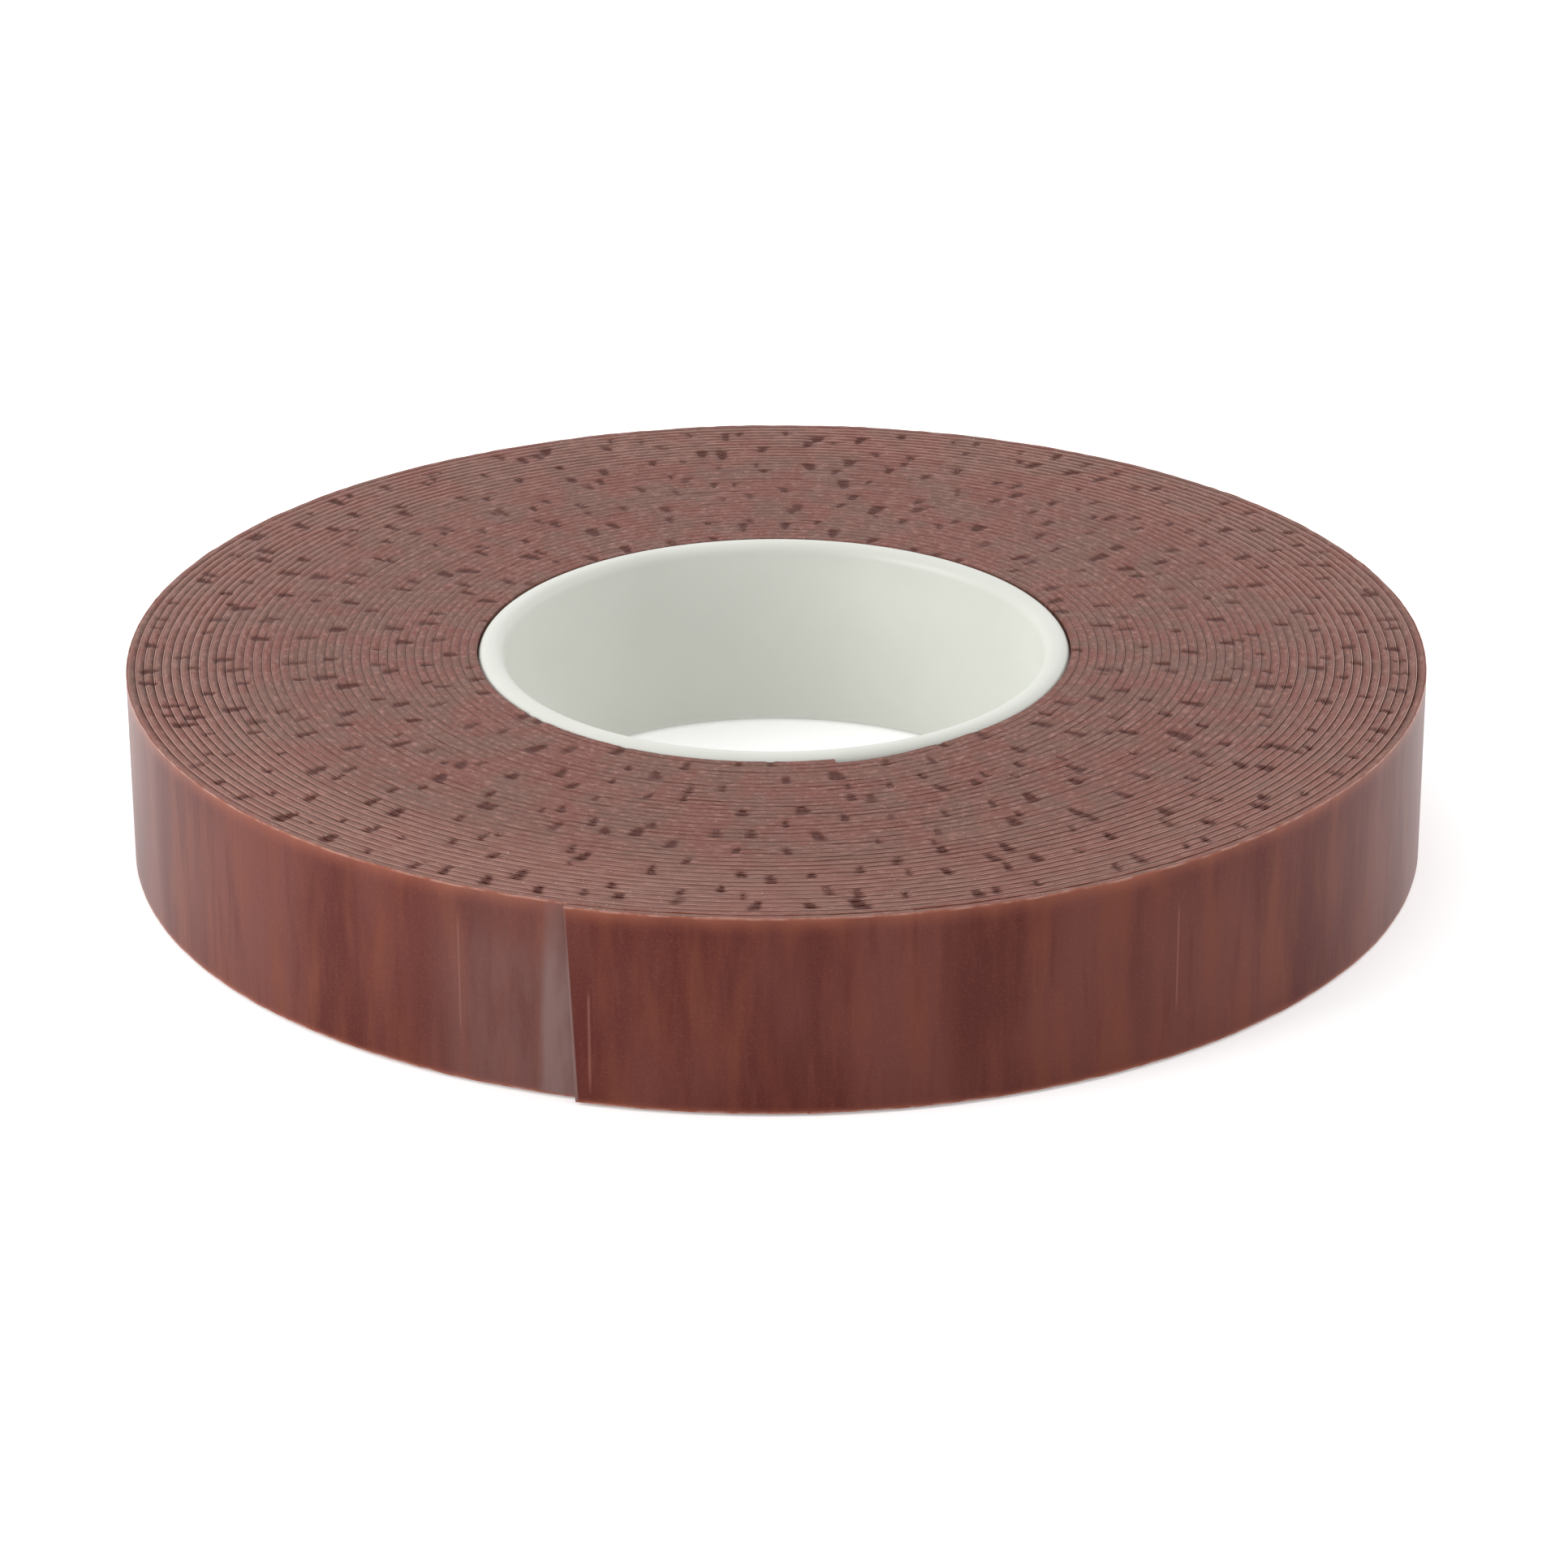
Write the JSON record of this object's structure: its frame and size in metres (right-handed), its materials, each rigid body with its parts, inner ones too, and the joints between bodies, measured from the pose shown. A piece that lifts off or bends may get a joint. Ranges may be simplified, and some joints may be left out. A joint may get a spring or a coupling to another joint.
{
  "type": "tape roll",
  "caption": "Roll of double-sided film-lined adhesive tape wound on a plain plastic core, with a free end that peels and a liner that lifts off it.",
  "frame": {"origin": "on the core's axis at the core's lower rim, where the roll lies on a table", "axes": "+Z along the core's axis, upwards; the free end of the tape is on the -Y side, a little towards -X"},
  "size_m": [0.1828, 0.1835, 0.0284],
  "materials": {
    "core_plastic": "moulded off-white plastic, satin",
    "adhesive": "soft translucent adhesive, tinted by the liner",
    "liner_film": "glossy red-brown release film with faint cross-web streaks"
  },
  "bodies": {
    "roll": {"core": "core_plastic", "adhesive_turns_1": "adhesive", "adhesive_turns_2": "adhesive", "adhesive_turns_3": "adhesive", "adhesive_turns_4": "adhesive", "adhesive_turns_5": "adhesive", "liner_winding": "liner_film"},
    "tail": {"adhesive_tail": "adhesive", "liner_tail_root": "liner_film"},
    "liner_end": {"liner_tail": "liner_film"}
  },
  "joints": [
    {"name": "tail_peel", "type": "hinge", "parent": "roll", "child": "tail", "pos_m": [0.00704, -0.09174, 0.0142], "axis": [0, 0, 1], "range_deg": [0, 90]},
    {"name": "liner_peel", "type": "hinge", "parent": "tail", "child": "liner_end", "pos_m": [-0.00294, -0.09197, 0.0142], "axis": [0, 0, 1], "range_deg": [0, 110]}
  ]
}
